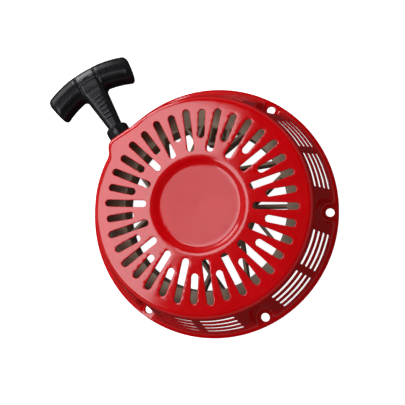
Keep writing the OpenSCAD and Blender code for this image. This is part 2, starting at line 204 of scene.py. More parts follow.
def profile(with_flange):
    """Outer surface of the pressing as (radius, height), from the axis outwards."""
    disc = [(r, DISC_Z - DISH * (1 - (r / DISC_R) ** 2)) for r in np.linspace(0, DISC_R - 1.2, 40)]
    rim, lip, shoulder = (DISC_R, DISC_Z), (RECESS_R, FACE_Z - FACE_DIP), (FACE_R, FACE_Z)
    dip = [(r, FACE_Z - FACE_DIP * math.exp(-(r - RECESS_R) / 6))
           for r in np.linspace(RECESS_R + 2.6, 78, 60)]
    foot = (FOOT_R, SHEET)
    low = (FOOT_R + WALL_SLOPE * 8, SHEET - 8)
    points = disc + fillet(disc[-1], rim, lip, 2.5) + fillet(rim, lip, dip[0], 9) + dip
    points += fillet((78, FACE_Z), shoulder, foot, 5, 16)
    if with_flange:
        return np.array(points + fillet(shoulder, foot, (FLANGE_R, SHEET), 2) + [(FLANGE_R, SHEET)])
    return np.array(points + [foot, low])


solid_r, solid_z = profile(False).T
line_r, line_z = profile(True).T
line_s = np.concatenate([[0], np.cumsum(np.hypot(np.diff(line_r), np.diff(line_z)))])
slope_r = np.linspace(0, 108, 2161)
slope_z = np.gradient(np.interp(slope_r, solid_r, solid_z), slope_r)


def smooth_max(a, b, k):
    h = np.maximum(k - np.abs(a - b), 0) / np.maximum(k, 1e-9)
    return np.maximum(a, b) + h * h * k / 4


def smooth_min(a, b, k):
    return -smooth_max(-a, -b, k)


def outside(x, y, z):
    """How far a point is outside the pressing's outer surface, in mm; negative inside."""
    r = np.hypot(x, y)
    body = (z - np.interp(r, solid_r, solid_z)) / np.hypot(1, np.interp(r, slope_r, slope_z))
    for i in range(6):
        a = math.radians(60 * i)
        d = np.hypot(x - BOLT_R * math.cos(a), y - BOLT_R * math.sin(a))
        body = smooth_max(body, POCKET_R + POCKET_FLARE * (z - SHEET) - d, 2.0)
    px = x * math.cos(PULL) + y * math.sin(PULL)
    py = -x * math.sin(PULL) + y * math.cos(PULL)
    lean = 0.02 * (z - ROPE_Z)
    beyond_seat = smooth_max(SEAT_X - 1 - lean - px, SEAT_Y[0] - lean - py, 3)
    pocket = smooth_max(beyond_seat, py - SEAT_Y[1] - lean, 3)
    body = smooth_max(body, -pocket, 1.5)
    flank = ((px - SEAT_X) * FLANK[0] + (py - FLANK_Y) * FLANK[1]) / math.hypot(*FLANK)
    inner_side = np.maximum(BLOCK_Y0 - py, BLOCK_X0 - px)
    side = smooth_max(smooth_max(px - SEAT_X, flank, 5), inner_side, 3) + lean
    qx, qz = side + BLOCK_EDGE, z - FACE_Z + BLOCK_EDGE
    corner = np.hypot(np.maximum(qx, 0), np.maximum(qz, 0))
    block = corner + np.minimum(np.maximum(qx, qz), 0) - BLOCK_EDGE
    k = 3 * np.clip((38 - z) / 8, 0, 1)
    return smooth_min(smooth_min(body, block, k), z - SHEET, 3)


def on_surface(xy):
    """Points of the outer surface over given plan points, with their normals."""
    x, y = xy[:, 0], xy[:, 1]
    low, high = np.full(len(x), SHEET - 1.0), np.full(len(x), FACE_Z + 1.0)
    for _ in range(34):
        mid = (low + high) / 2
        inside = outside(x, y, mid) < 0
        low, high = np.where(inside, mid, low), np.where(inside, high, mid)
    z = (low + high) / 2
    h = 0.02
    n = np.stack([outside(x + h, y, z) - outside(x - h, y, z),
                  outside(x, y + h, z) - outside(x, y - h, z),
                  outside(x, y, z + h) - outside(x, y, z - h)], 1)
    return np.stack([x, y, z], 1), n / np.linalg.norm(n, axis=1, keepdims=True)


def to_plan(s, angle):
    r = np.interp(s, line_s, line_r)
    return np.stack([r * np.cos(angle), r * np.sin(angle)], 1)


def to_flat(xy):
    """Plan points on the sheet rolled flat, where the triangles are laid out."""
    r = np.hypot(xy[:, 0], xy[:, 1])
    s = np.interp(r, line_r, line_s)
    return xy * (s / np.maximum(r, 1e-9))[:, None]


ROLL = 0.55
BAND = [(ROLL, 0.0), (0.29 * ROLL, 0.29 * ROLL), (0.08 * ROLL, 0.61 * ROLL), (0.0, ROLL)]


def slot_outline(bearing, r0, r1, grow):
    """A round-ended slot in the face, widened by grow."""
    w = SLOT_HALF
    arc = np.radians(np.linspace(-90, 90, 13))
    long_side = np.linspace(0, 1, 13)[1:-1]
    right_end = np.stack([r1 - w + (w + grow) * np.cos(arc), (w + grow) * np.sin(arc)], 1)
    left_end = np.stack([r0 + w - (w + grow) * np.cos(arc), -(w + grow) * np.sin(arc)], 1)
    top = np.stack([r1 - w + (r0 - r1 + 2 * w) * long_side, np.full(len(long_side), w + grow)], 1)
    low = np.stack([r0 + w + (r1 - r0 - 2 * w) * long_side, np.full(len(long_side), -w - grow)], 1)
    p = np.concatenate([right_end, top, left_end, low])
    c, s = math.cos(bearing), math.sin(bearing)
    return np.stack([p[:, 0] * c - p[:, 1] * s, p[:, 0] * s + p[:, 1] * c], 1)


def louvre_outline(a0, a1, z, height, grow):
    """A louvre in the side wall, from bearing a0 to a1."""
    lean = math.hypot(1, WALL_SLOPE)
    r = FOOT_R - (z - SHEET) * WALL_SLOPE
    s = np.interp(r, line_r, line_s)
    hs = height / 2 * lean + grow
    ha = (a1 - a0) / 2 * r + grow
    corner = 1.0 + grow
    pts = []
    for k, (cx, cy) in enumerate([(1, -1), (1, 1), (-1, 1), (-1, -1)]):
        for w in np.radians(np.linspace(-90 + 90 * k, 90 * k, 4)):
            pts.append((cx * (ha - corner) + corner * math.cos(w),
                        cy * (hs - corner) + corner * math.sin(w)))
        if k in (1, 3):
            way = 1 if k == 1 else -1
            end = ha - corner
            pts += [(way * (end - 2 * end * t), way * hs) for t in np.linspace(0, 1, 14)[1:-1]]
    p = np.array(pts)
    return to_plan(s - p[:, 1], (a0 + a1) / 2 + p[:, 0] / r)


def round_outline(cx, cy, radius, grow):
    w = np.linspace(0, 2 * math.pi, 28, endpoint=False)
    return np.stack([cx + (radius + grow) * np.cos(w), cy + (radius + grow) * np.sin(w)], 1)


outlines = []
for i in range(18):
    outlines.append(lambda g, i=i: slot_outline(math.radians(20 * i), *LONG_SLOT, g))
    outlines.append(lambda g, i=i: slot_outline(math.radians(20 * i + 10), *SHORT_SLOT, g))
for sector in (0, 1, 3, 4, 5):
    for a0, a1 in ((10.5, 28.2), (31.8, 49.5)):
        for row in range(4):
            outlines.append(lambda g, a=math.radians(60 * sector + a0),
                            b=math.radians(60 * sector + a1), z=LOUVRE_Z0 + LOUVRE_PITCH * row:
                            louvre_outline(a, b, z, LOUVRE_H, g))
for i in range(6):
    outlines.append(lambda g, a=math.radians(60 * i): round_outline(
        BOLT_R * math.cos(a), BOLT_R * math.sin(a), BOLT_HOLE_R, g))
rim = np.linspace(0, 2 * math.pi, 360, endpoint=False)
outlines.append(lambda g: np.stack([(FLANGE_R - g) * np.cos(rim),
                                    (FLANGE_R - g) * np.sin(rim)], 1)[::-1])

# Plan points between the holes: rings, then finer nets round the bolts and at the rope's outlet
rings = [3, 7, 11, 15, 19, 23, 27, 30, 31.8]
rings += list(np.linspace(32.3, 42, 20)) + [43.4, 46, 50, 56, 62, 68, 74, 79, 82, 83.4]
shoulder_r = [r for r, z in zip(line_r, line_z) if 84 < r < 89 and z > 36]
rings += shoulder_r + list(np.interp(np.arange(38, 4.5, -3.0), line_z[::-1], line_r[::-1]))
rings += list(np.linspace(102.4, 105.6, 7)) + [106.6]
plan = [np.zeros((1, 2))]
for r in rings:
    count = int(np.clip(round(2 * math.pi * r / 2.6), 16, 200))
    w = 2 * math.pi * np.arange(count) / count + 0.37 * (len(plan) % 2)
    plan.append(np.stack([r * np.cos(w), r * np.sin(w)], 1))
plan = np.concatenate(plan)


def pull_frame(xy):
    c, s = math.cos(PULL), math.sin(PULL)
    return np.stack([xy[:, 0] * c + xy[:, 1] * s, -xy[:, 0] * s + xy[:, 1] * c], 1)


def from_pull(xy):
    c, s = math.cos(PULL), math.sin(PULL)
    return np.stack([xy[:, 0] * c - xy[:, 1] * s, xy[:, 0] * s + xy[:, 1] * c], 1)


q = pull_frame(plan)
radius = np.hypot(plan[:, 0], plan[:, 1])
outlet = (q[:, 0] > 58) & (q[:, 1] > 5) & (q[:, 1] < 62) & (radius > 80)
plan = plan[~outlet]
for i in range(6):
    a = math.radians(60 * i)
    bolt = np.array((BOLT_R * math.cos(a), BOLT_R * math.sin(a)))
    plan = plan[np.hypot(*(plan - bolt).T) > 15.2]
    for d in [4.9, 6.2, 7.2] + list(np.arange(7.8, 14.9, 0.35)):
        w = a + math.pi + np.radians(np.arange(-150, 150, 4 if d > 7 else 9))
        p = bolt + d * np.stack([np.cos(w), np.sin(w)], 1)
        plan = np.concatenate([plan, p[np.hypot(p[:, 0], p[:, 1]) < 106.9]])
gx = np.concatenate([np.arange(58, 86, 1.6), np.arange(86.2, 89.2, 0.2), np.arange(89.6, 107, 1.6)])
gy = np.concatenate([np.arange(5.5, 15.6, 1.4), np.arange(16, 18.4, 0.2), np.arange(19, 37, 1.6),
                     np.arange(37, 50, 0.5), np.arange(50.4, 62, 1.2)])
net = np.stack(np.meshgrid(gx, gy), -1).reshape(-1, 2)
net = net[(np.hypot(*net.T) > 80.2) & (np.hypot(*net.T) < 106.9)]
net = from_pull(net)
for i in (2, 3):
    a = math.radians(60 * i)
    net = net[np.hypot(net[:, 0] - BOLT_R * math.cos(a), net[:, 1] - BOLT_R * math.sin(a)) > 15.0]
plan = np.concatenate([plan, net])

loops = [make(ROLL) for make in outlines]
flat_plan = to_flat(plan)
clear = np.ones(len(plan), bool)
for loop in loops[:-1]:
    flat = to_flat(loop)
    lo, hi = flat.min(0) - 1.5, flat.max(0) + 1.5
    near = np.where(((flat_plan > lo) & (flat_plan < hi)).all(1))[0]
    if not len(near):
        continue
    p, a, b = flat_plan[near], flat, np.roll(flat, -1, 0)
    e = b - a
    t = np.clip(((p[:, None] - a) * e).sum(2) / (e * e).sum(1), 0, 1)
    gap = np.hypot(*np.moveaxis(p[:, None] - a - t[..., None] * e, 2, 0)).min(1)
    rise = np.where(e[:, 1] == 0, 1e-12, e[:, 1])
    cross = ((a[:, 1] > p[:, None, 1]) != (b[:, 1] > p[:, None, 1])) & (
        p[:, None, 0] < a[:, 0] + (p[:, None, 1] - a[:, 1]) / rise * e[:, 0])
    inside = cross.sum(1) % 2 == 1
    clear[near[inside | (gap < 0.45)]] = False
plan = plan[clear]

starts, points, edges = [], [plan], []
total = len(plan)
for loop in loops:
    starts.append(total)
    n = len(loop)
    points.append(loop)
    edges += [(total + k, total + (k + 1) % n) for k in range(n)]
    total += n
points = np.concatenate(points)
flat = to_flat(points)
verts, _, faces, origin, _, _ = delaunay_2d_cdt([Vector(p) for p in flat], edges, [], 0, 1e-6)
if len(verts) != len(points):
    raise RuntimeError("the plan points of the pressing aren't all distinct")
back_to = [o[0] for o in origin]
faces = np.array([[back_to[v] for v in f] for f in faces])
hole = np.full(len(points), -1)
for k, start in enumerate(starts):
    hole[start:start + len(loops[k])] = k
owner = hole[faces]
one_loop = (owner[:, 0] == owner[:, 1]) & (owner[:, 1] == owner[:, 2])
in_hole = one_loop & (owner[:, 0] >= 0) & (owner[:, 0] < len(loops) - 1)
faces = faces[~in_hole]
area = np.cross(flat[faces[:, 1]] - flat[faces[:, 0]],
                flat[faces[:, 2]] - flat[faces[:, 0]])
faces[area < 0] = faces[area < 0][:, ::-1]

outer, normal = on_surface(points)


def under(p, n, xy):
    """The inner surface below outer points: flat under the disc, where the spindle's plate sits."""
    thickness = GAUGE + (SHEET - GAUGE) * np.clip((4 - p[:, 2:]) / 2.5, 0, 1)
    q = p - thickness * n
    r = np.hypot(xy[:, 0], xy[:, 1])
    q[:, 2] = np.where(r < DISC_BACK_R, DISC_BACK_Z, q[:, 2])
    return np.maximum(q, [-1e3, -1e3, 0])


inner = under(outer, normal, points)
coords = [outer, inner]
count = 2 * len(points)
polys = [tuple(f) for f in faces] + [tuple(f[::-1] + len(points)) for f in faces]
for make, start in zip(outlines, starts):
    previous = np.arange(start, start + len(make(ROLL)))
    inner_loop = previous + len(points)
    n = len(previous)
    for grow, depth in BAND[1:]:
        xy = make(grow)
        p, nrm = on_surface(xy)
        coords.append(p - depth * nrm)
        ids = np.arange(count, count + n)
        count += n
        polys += [(previous[k], ids[k], ids[(k + 1) % n], previous[(k + 1) % n])[::-1]
                  for k in range(n)]
        previous = ids
    coords.append(under(p, nrm, xy))
    ids = np.arange(count, count + n)
    count += n
    for a, b in ((previous, ids), (ids, inner_loop)):
        polys += [(a[k], b[k], b[(k + 1) % n], a[(k + 1) % n])[::-1] for k in range(n)]


def face_outwards(mesh):
    bm = bmesh.new()
    bm.from_mesh(mesh)
    bmesh.ops.recalc_face_normals(bm, faces=bm.faces)
    bm.to_mesh(mesh)
    bm.free()


housing_mesh = bpy.data.meshes.new("housing_pressing")
housing_mesh.from_pydata((np.concatenate(coords) * MM).tolist(), [],
                         [tuple(int(v) for v in f) for f in polys])
housing_mesh.validate()
face_outwards(housing_mesh)
housing_mesh.shade_smooth()
housing_mesh.set_sharp_from_angle(angle=math.radians(42))
housing = bpy.data.objects.new("housing_pressing", housing_mesh)
scene.collection.objects.link(housing)


def finished_mesh(made):
    """The object's mesh with its modifiers applied."""
    bpy.context.view_layer.update()
    graph = bpy.context.evaluated_depsgraph_get()
    return bpy.data.meshes.new_from_object(made.evaluated_get(graph))


even = housing.modifiers.new("even", "WEIGHTED_NORMAL")
even.keep_sharp = True
even.weight = 80
housing.data = finished_mesh(housing)
housing.modifiers.clear()


def new_material(name, colour, roughness, metallic=0.0):
    """A material with a principled shader, and its object coordinates in metres."""
    made = bpy.data.materials.new(name)
    made.use_nodes = True
    tree = made.node_tree
    shader = tree.nodes["Principled BSDF"]
    shader.inputs["Base Color"].default_value = (*colour, 1)
    shader.inputs["Roughness"].default_value = roughness
    shader.inputs["Metallic"].default_value = metallic
    place = tree.nodes.new("ShaderNodeTexCoord").outputs["Object"]
    return made, tree, shader, place


def noise(tree, place, scale, detail=3.0, roughness=0.5):
    return node(tree, "ShaderNodeTexNoise", Vector=place, Scale=scale, Detail=detail,
                Roughness=roughness).outputs["Fac"]


def spread(tree, value, low, high, start=0.3, end=0.7):
    """Maps a noise value from start..end to low..high."""
    return node(tree, "ShaderNodeMapRange", Value=value, From_Min=start, From_Max=end,
                To_Min=low, To_Max=high).outputs["Result"]


def mix_colour(tree, factor, a, b):
    made = tree.nodes.new("ShaderNodeMix")
    made.data_type = "RGBA"
    tree.links.new(factor, made.inputs[0])
    for socket, value in ((made.inputs[6], a), (made.inputs[7], b)):
        if isinstance(value, bpy.types.NodeSocket):
            tree.links.new(value, socket)
        else:
            socket.default_value = (*value, 1)
    return made.outputs[2]


def bump(tree, shader, height, distance, strength=1.0, socket="Normal"):
    made = node(tree, "ShaderNodeBump", Height=height, Distance=distance, Strength=strength)
    tree.links.new(made.outputs["Normal"], shader.inputs[socket])


enamel, tree, shader, place = new_material("red_enamel", (0.58, 0.001, 0.003), 0.4)
shader.inputs["Coat Weight"].default_value = 1.0
shader.inputs["Coat IOR"].default_value = 1.5
shader.inputs["Specular IOR Level"].default_value = 0.0
mottle = noise(tree, place, 60, 4)
tree.links.new(mix_colour(tree, spread(tree, mottle, 0, 1),
                          (0.56, 0.0008, 0.002), (0.62, 0.0014, 0.004)), shader.inputs["Base Color"])
tree.links.new(spread(tree, noise(tree, place, 220, 5), 0.09, 0.13), shader.inputs["Coat Roughness"])
tree.links.new(spread(tree, mottle, 0.34, 0.46), shader.inputs["Roughness"])
bump(tree, shader, noise(tree, place, 420, 2), 0.00002, 0.5, "Coat Normal")
housing.data.materials.append(enamel)
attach(housing, "root")
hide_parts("housing")

# ---------------------------------------------------------------- spindle, its plate and the screw
# Turned steel spindle, fixed with its backing plate to the inside of the disc. The cam plate runs
# on the centre screw, between the thrust washer and the spindle's end. All zinc plated.


def add_object(name, mesh, material):
    made = bpy.data.objects.new(name, mesh)
    scene.collection.objects.link(made)
    mesh.materials.clear()
    mesh.materials.append(material)
    return made


def soften(name, width, material, body):
    """A CAD piece with its edges rounded as the real piece's are."""
    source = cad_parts[name].data.copy()
    bm = bmesh.new()
    bm.from_mesh(source)
    bmesh.ops.remove_doubles(bm, verts=bm.verts, dist=2e-6)
    bmesh.ops.dissolve_limit(bm, angle_limit=math.radians(0.5), verts=bm.verts, edges=bm.edges)
    bm.to_mesh(source)
    bm.free()
    made = add_object(name + "_finished", source, material)
    edge = made.modifiers.new("edge", "BEVEL")
    edge.width = width * MM
    edge.segments = 2
    edge.limit_method = "ANGLE"
    edge.angle_limit = math.radians(35)
    edge.use_clamp_overlap = True
    edge.harden_normals = False
    made.data = finished_mesh(made)
    made.modifiers.clear()
    made.data.shade_smooth()
    made.data.set_sharp_from_angle(angle=math.radians(38))
    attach(made, body)
    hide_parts(name)


zinc, tree, shader, place = new_material("zinc_plate", (0.62, 0.63, 0.62), 0.32, 1.0)
cloud = noise(tree, place, 120, 5, 0.6)
tree.links.new(mix_colour(tree, spread(tree, cloud, 0, 1), (0.50, 0.51, 0.50), (0.70, 0.70, 0.68)),
               shader.inputs["Base Color"])
tree.links.new(spread(tree, noise(tree, place, 700, 3), 0.24, 0.42), shader.inputs["Roughness"])
bump(tree, shader, noise(tree, place, 1500, 2), 0.00001, 0.4)
for name, width in (("spindle_plate", 0.25), ("spindle", 0.3), ("center_screw", 0.3),
                    ("thrust_washer", 0.15)):
    soften(name, width, zinc, "root")

# ---------------------------------------------------------------- rope guide and its clip
# Moulded black nylon cup. Its spigot goes through the outlet's flat seat and a spring steel clip
# holds it from inside; the grip's neck rests in the cup's mouth.


def turned(name, outline, steps, material):
    """A solid of revolution about the rope's line; outline is (radius, place along the pull)."""
    n = len(outline)
    pts, quads = [], []
    for k in range(steps):
        w = 2 * math.pi * k / steps
        for radius, along in outline:
            pts.append((along, ROPE_Y + radius * math.cos(w), ROPE_Z + radius * math.sin(w)))
        for m in range(n):
            a, b = k * n + m, k * n + (m + 1) % n
            c, d = (k + 1) % steps * n + (m + 1) % n, (k + 1) % steps * n + m
            quads.append((a, b, c, d))
    mesh = bpy.data.meshes.new(name)
    p = np.array(pts)
    p[:, :2] = from_pull(p[:, :2])
    mesh.from_pydata((p * MM).tolist(), [], quads)
    face_outwards(mesh)
    mesh.shade_smooth()
    mesh.set_sharp_from_angle(angle=math.radians(40))
    return add_object(name, mesh, material)


black, tree, shader, place = new_material("black_nylon", (0.005, 0.005, 0.006), 0.3)
shader.inputs["Specular IOR Level"].default_value = 0.24
grain = noise(tree, place, 1800, 3, 0.6)
tree.links.new(mix_colour(tree, spread(tree, noise(tree, place, 90, 4), 0, 1),
                          (0.004, 0.004, 0.005), (0.008, 0.008, 0.009)), shader.inputs["Base Color"])
tree.links.new(spread(tree, grain, 0.19, 0.29), shader.inputs["Roughness"])
bump(tree, shader, grain, 0.00003, 0.5)

# Each corner of the cup's half section: radius, place along the pull, and how much it is rounded
guide_corners = [(4.2, 81.6, 0.3), (5.8, 81.6, 0.3), (6.4, 82.2, 0.3), (6.4, 84.3, 0.1),
                 (5.6, 84.3, 0.1), (5.6, 85.3, 0.1), (6.4, 85.3, 0.1), (6.4, 87.5, 0.3),
                 (9.6, 87.5, 0.6), (10, 90, 1.0), (9.7, 94.5, 1.2), (10, 98, 1.2),
                 (9.9, 102.6, 1.1), (8.6, 102.6, 0.5), (8.0, 98.6, 0.6), (4.2, 98.6, 0.8),
                 (3.0, 96.4, 1.0), (3.0, 83.6, 1.0)]
guide_line = []
for k, (r, x, bend) in enumerate(guide_corners):
    before = guide_corners[k - 1][:2]
    after = guide_corners[(k + 1) % len(guide_corners)][:2]
    guide_line += fillet(before, (r, x), after, bend, 4)
guide = turned("rope_guide_moulded", guide_line, 72, black)
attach(guide, "root")
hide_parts("rope_guide")

spring_steel, tree, shader, place = new_material("oiled_spring_steel", (0.30, 0.31, 0.34), 0.28, 1.0)
tree.links.new(mix_colour(tree, spread(tree, noise(tree, place, 260, 4), 0, 1),
                          (0.20, 0.21, 0.25), (0.40, 0.40, 0.42)), shader.inputs["Base Color"])
tree.links.new(spread(tree, noise(tree, place, 900, 3), 0.2, 0.4), shader.inputs["Roughness"])
soften("guide_clip", 0.1, spring_steel, "root")

# ---------------------------------------------------------------- reel
# One moulding in brown-grey glass-filled nylon: rim with the rope's groove, slanting ribs, and a
# hub whose drum holds the mainspring. It turns on the spindle in a sintered bronze bush.

reel_nylon, tree, shader, place = new_material("glass_filled_nylon", (0.36, 0.27, 0.18), 0.5)
streak = node(tree, "ShaderNodeMapping", Vector=place, Scale=(1, 1, 3)).outputs["Vector"]
fibres = noise(tree, streak, 900, 4, 0.65)
tree.links.new(mix_colour(tree, spread(tree, noise(tree, place, 45, 5), 0, 1),
                          (0.29, 0.215, 0.145), (0.44, 0.335, 0.225)), shader.inputs["Base Color"])
tree.links.new(spread(tree, fibres, 0.42, 0.62), shader.inputs["Roughness"])
bump(tree, shader, fibres, 0.00004, 0.5)
for name in ("reel_rim", "reel_hub", "reel_ribs"):
    soften(name, 0.35, reel_nylon, "reel_body")

bronze, tree, shader, place = new_material("sintered_bronze", (0.42, 0.25, 0.11), 0.45, 1.0)
pores = noise(tree, place, 2400, 2)
tree.links.new(spread(tree, pores, 0.38, 0.6), shader.inputs["Roughness"])
tree.links.new(mix_colour(tree, spread(tree, pores, 0, 1, 0.2, 0.45),
                          (0.16, 0.09, 0.04), (0.45, 0.27, 0.12)), shader.inputs["Base Color"])
bump(tree, shader, pores, 0.00004, 0.6)
soften("reel_bush", 0.3, bronze, "reel_body")

# ---------------------------------------------------------------- mainspring
# A flat strip of spring steel wound in the reel's drum, oiled. It is closed in by the hub's web
# and the disc.

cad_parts["mainspring"].data.materials.clear()
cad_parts["mainspring"].data.materials.append(spring_steel)

# ---------------------------------------------------------------- rope
# Five millimetre braided polyester starter rope: 2.6 turns in the reel's groove, and the run to the
# guide. The stretch that comes out as the grip is pulled is made with the rope's outer end.

ROPE_R = 2.5
STRANDS = 4
BRAID_LAY = 16
GROOVE_Z = (10.7, 24.1)
TURNS = 2.6
COIL_R = 72.62
WOUND_R = 72.7


def braided_tube(name, path, sides, material, radius, lengths=None):
    """A rope along a path, with the lobes of its braid; lengths says how far along it each ring is."""
    path = np.array(path, float)
    step = np.linalg.norm(np.diff(path, axis=0), axis=1)
    along = np.concatenate([[0], np.cumsum(step)]) if lengths is None else np.array(lengths)
    tangent = np.gradient(path, axis=0)
    tangent /= np.linalg.norm(tangent, axis=1, keepdims=True)
    side = np.cross(tangent, (0, 0, 1.0))
    side /= np.linalg.norm(side, axis=1, keepdims=True)
    top = np.cross(side, tangent)
    w = 2 * math.pi * np.arange(sides) / sides
    lay = 2 * math.pi * along / BRAID_LAY
    lobes = np.sin(STRANDS * (w[None] + lay[:, None])) * np.sin(STRANDS * (w[None] - lay[:, None]))
    r = radius * (0.955 + 0.045 * lobes)
    pts = path[:, None] + r[..., None] * (side[:, None] * np.cos(w)[None, :, None] +
                                          top[:, None] * np.sin(w)[None, :, None])
    n = len(path)
    quads = [(i * sides + k, i * sides + (k + 1) % sides,
              (i + 1) * sides + (k + 1) % sides, (i + 1) * sides + k)
             for i in range(n - 1) for k in range(sides)]
    ends = [tuple(range(sides))[::-1], tuple((n - 1) * sides + k for k in range(sides))]
    mesh = bpy.data.meshes.new(name)
    mesh.from_pydata((pts.reshape(-1, 3) * MM).tolist(), [], quads + ends)
    layer = mesh.uv_layers.new(name="braid")
    uv = np.zeros((len(mesh.loops), 2))
    at = np.array([l.vertex_index for l in mesh.loops])
    ring_of, spoke = at // sides, at % sides
    uv[:, 0] = along[ring_of] / BRAID_LAY
    uv[:, 1] = spoke / sides
    for quad in range(len(quads)):
        corner = slice(4 * quad, 4 * quad + 4)
        if spoke[4 * quad] == sides - 1:
            uv[corner, 1] = np.where(spoke[corner] == 0, 1.0, uv[corner, 1])
    layer.data.foreach_set("uv", uv.ravel())
    face_outwards(mesh)
    mesh.shade_smooth()
    return add_object(name, mesh, material)


rope, tree, shader, place = new_material("braided_polyester", (0.50, 0.47, 0.40), 0.75)
braid = tree.nodes.new("ShaderNodeUVMap")
braid.uv_map = "braid"
lanes = []
for lean in (1, -1):
    split = node(tree, "ShaderNodeSeparateXYZ", Vector=braid.outputs["UV"])
    shift = tree.nodes.new("ShaderNodeMath")
    shift.operation = "MULTIPLY_ADD"
    shift.inputs[1].default_value = lean
    tree.links.new(split.outputs["X"], shift.inputs[0])
    tree.links.new(split.outputs["Y"], shift.inputs[2])
    wave = tree.nodes.new("ShaderNodeMath")
    wave.operation = "MULTIPLY"
    wave.inputs[1].default_value = 2 * STRANDS * math.pi
    tree.links.new(shift.outputs[0], wave.inputs[0])
    sine = tree.nodes.new("ShaderNodeMath")
    sine.operation = "SINE"
    tree.links.new(wave.outputs[0], sine.inputs[0])
    lanes.append(sine.outputs[0])
# Painted shade: the rope's colour goes dark in the grooves between the braid's strands, where the
# tube's lobes sink; the lighter end is the strands' own colour.
braid_groove_shade = tree.nodes.new("ShaderNodeMath")
braid_groove_shade.operation = "MULTIPLY"
tree.links.new(lanes[0], braid_groove_shade.inputs[0])
tree.links.new(lanes[1], braid_groove_shade.inputs[1])
fluff = noise(tree, place, 2600, 3)
strands_and_groove_shade = mix_colour(tree, spread(tree, braid_groove_shade.outputs[0], 0, 1, -0.6, 0.4),
                  (0.13, 0.12, 0.10), (0.56, 0.53, 0.45))
tree.links.new(mix_colour(tree, spread(tree, fluff, 0, 0.35), strands_and_groove_shade, (0.62, 0.60, 0.54)),
               shader.inputs["Base Color"])
bump(tree, shader, fluff, 0.0001, 0.6)
shader.inputs["Sheen Weight"].default_value = 0.25


def rope_piece(made, body, *nodes):
    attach(made, body)
    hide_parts(*nodes)


def from_pull3(points):
    points = np.array(points, float)
    return np.concatenate([from_pull(points[:, :2]), points[:, 2:]], 1)


low, high = GROOVE_Z[0] + ROPE_R, GROOVE_Z[1] - ROPE_R
w = np.linspace(0, 2 * math.pi * TURNS, int(TURNS * 150))
climb = low + (high - low) * np.clip(w / w[-1], 0, 1)
coil = np.stack([COIL_R * np.cos(w), COIL_R * np.sin(w), climb], 1)
rope_piece(braided_tube("rope_turns", coil, 12, rope, 2.45), "reel_body", "rope_wound")

guide_end = np.array([80.6, ROPE_Y])
bearing = math.atan2(guide_end[1], guide_end[0]) + math.acos(WOUND_R / math.hypot(*guide_end))
tangent = WOUND_R * np.array([math.cos(bearing), math.sin(bearing)])
start = tangent + (guide_end - tangent) * 0.6
route = np.array([(*start, 20.6), (*((start + guide_end) / 2 - (0.4, 0)), 20.8),
                  (79.7, ROPE_Y, ROPE_Z), (83.6, ROPE_Y, ROPE_Z), (98.1, ROPE_Y, ROPE_Z)])
t = np.linspace(0, len(route) - 1, 60)
feed = np.stack([np.interp(t, range(len(route)), route[:, k]) for k in range(3)], 1)
for _ in range(4):
    feed[1:-1] = (feed[:-2] + feed[1:-1] * 2 + feed[2:]) / 4
rope_piece(braided_tube("rope_run", from_pull3(feed), 12, rope, 2.4), "root", "rope_feed")

# ---------------------------------------------------------------- knot at the reel
# The rope's inner end, which goes through the groove's wall and is tied in an overhand knot. The
# knot is drawn into its pocket inside the reel.

KNOT_POCKET_R = 60.5


def knot_path(centre, size):
    """The line of an overhand knot pulled tight, in a closed loop."""
    w = np.linspace(0, 2 * math.pi, 90)
    loop = np.stack([np.sin(w) + 2 * np.sin(2 * w), np.cos(w) - 2 * np.cos(2 * w),
                     -2 * np.sin(3 * w)], 1) / 3 * size
    return loop + np.array(centre)


low_corner, high_corner = (np.array(corner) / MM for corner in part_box("rope_anchor_knot"))
middle = (low_corner + high_corner) / 2
outward = np.array((*(middle[:2] / np.hypot(*middle[:2])), 0.0))
heart = outward * KNOT_POCKET_R + np.array((0, 0, middle[2]))
rope_piece(braided_tube("anchor_knot_tied", knot_path(heart, 2.6), 8, rope, 1.5),
           "reel_body", "rope_anchor_knot")
tail = heart + outward * np.linspace(1.5, 9.3, 12)[:, None]
rope_piece(braided_tube("anchor_knot_tail", tail, 12, rope, 2.45), "reel_body")

# ---------------------------------------------------------------- pawls, their pins and springs
# Two hardened steel pawls swing on headed pins in the reel's bosses. A wire spring round each boss
# folds its pawl back when the cam plate lets go.

PIN_R = 26
SPRING_R = 7
SPRING_Z, SPRING_RISE = 12.3, 2.875

phosphate, tree, shader, place = new_material("phosphated_steel", (0.075, 0.075, 0.08), 0.5, 0.85)
tree.links.new(mix_colour(tree, spread(tree, noise(tree, place, 350, 5, 0.7), 0, 1),
                          (0.055, 0.055, 0.06), (0.13, 0.125, 0.12)), shader.inputs["Base Color"])
tree.links.new(spread(tree, noise(tree, place, 1500, 3), 0.36, 0.58), shader.inputs["Roughness"])
bump(tree, shader, noise(tree, place, 3000, 2), 0.00002, 0.5)
soften("pawl_pins", 0.25, zinc, "reel_body")
soften("pawl_a", 0.35, phosphate, "pawl_a_body")
soften("pawl_b", 0.35, phosphate, "pawl_b_body")


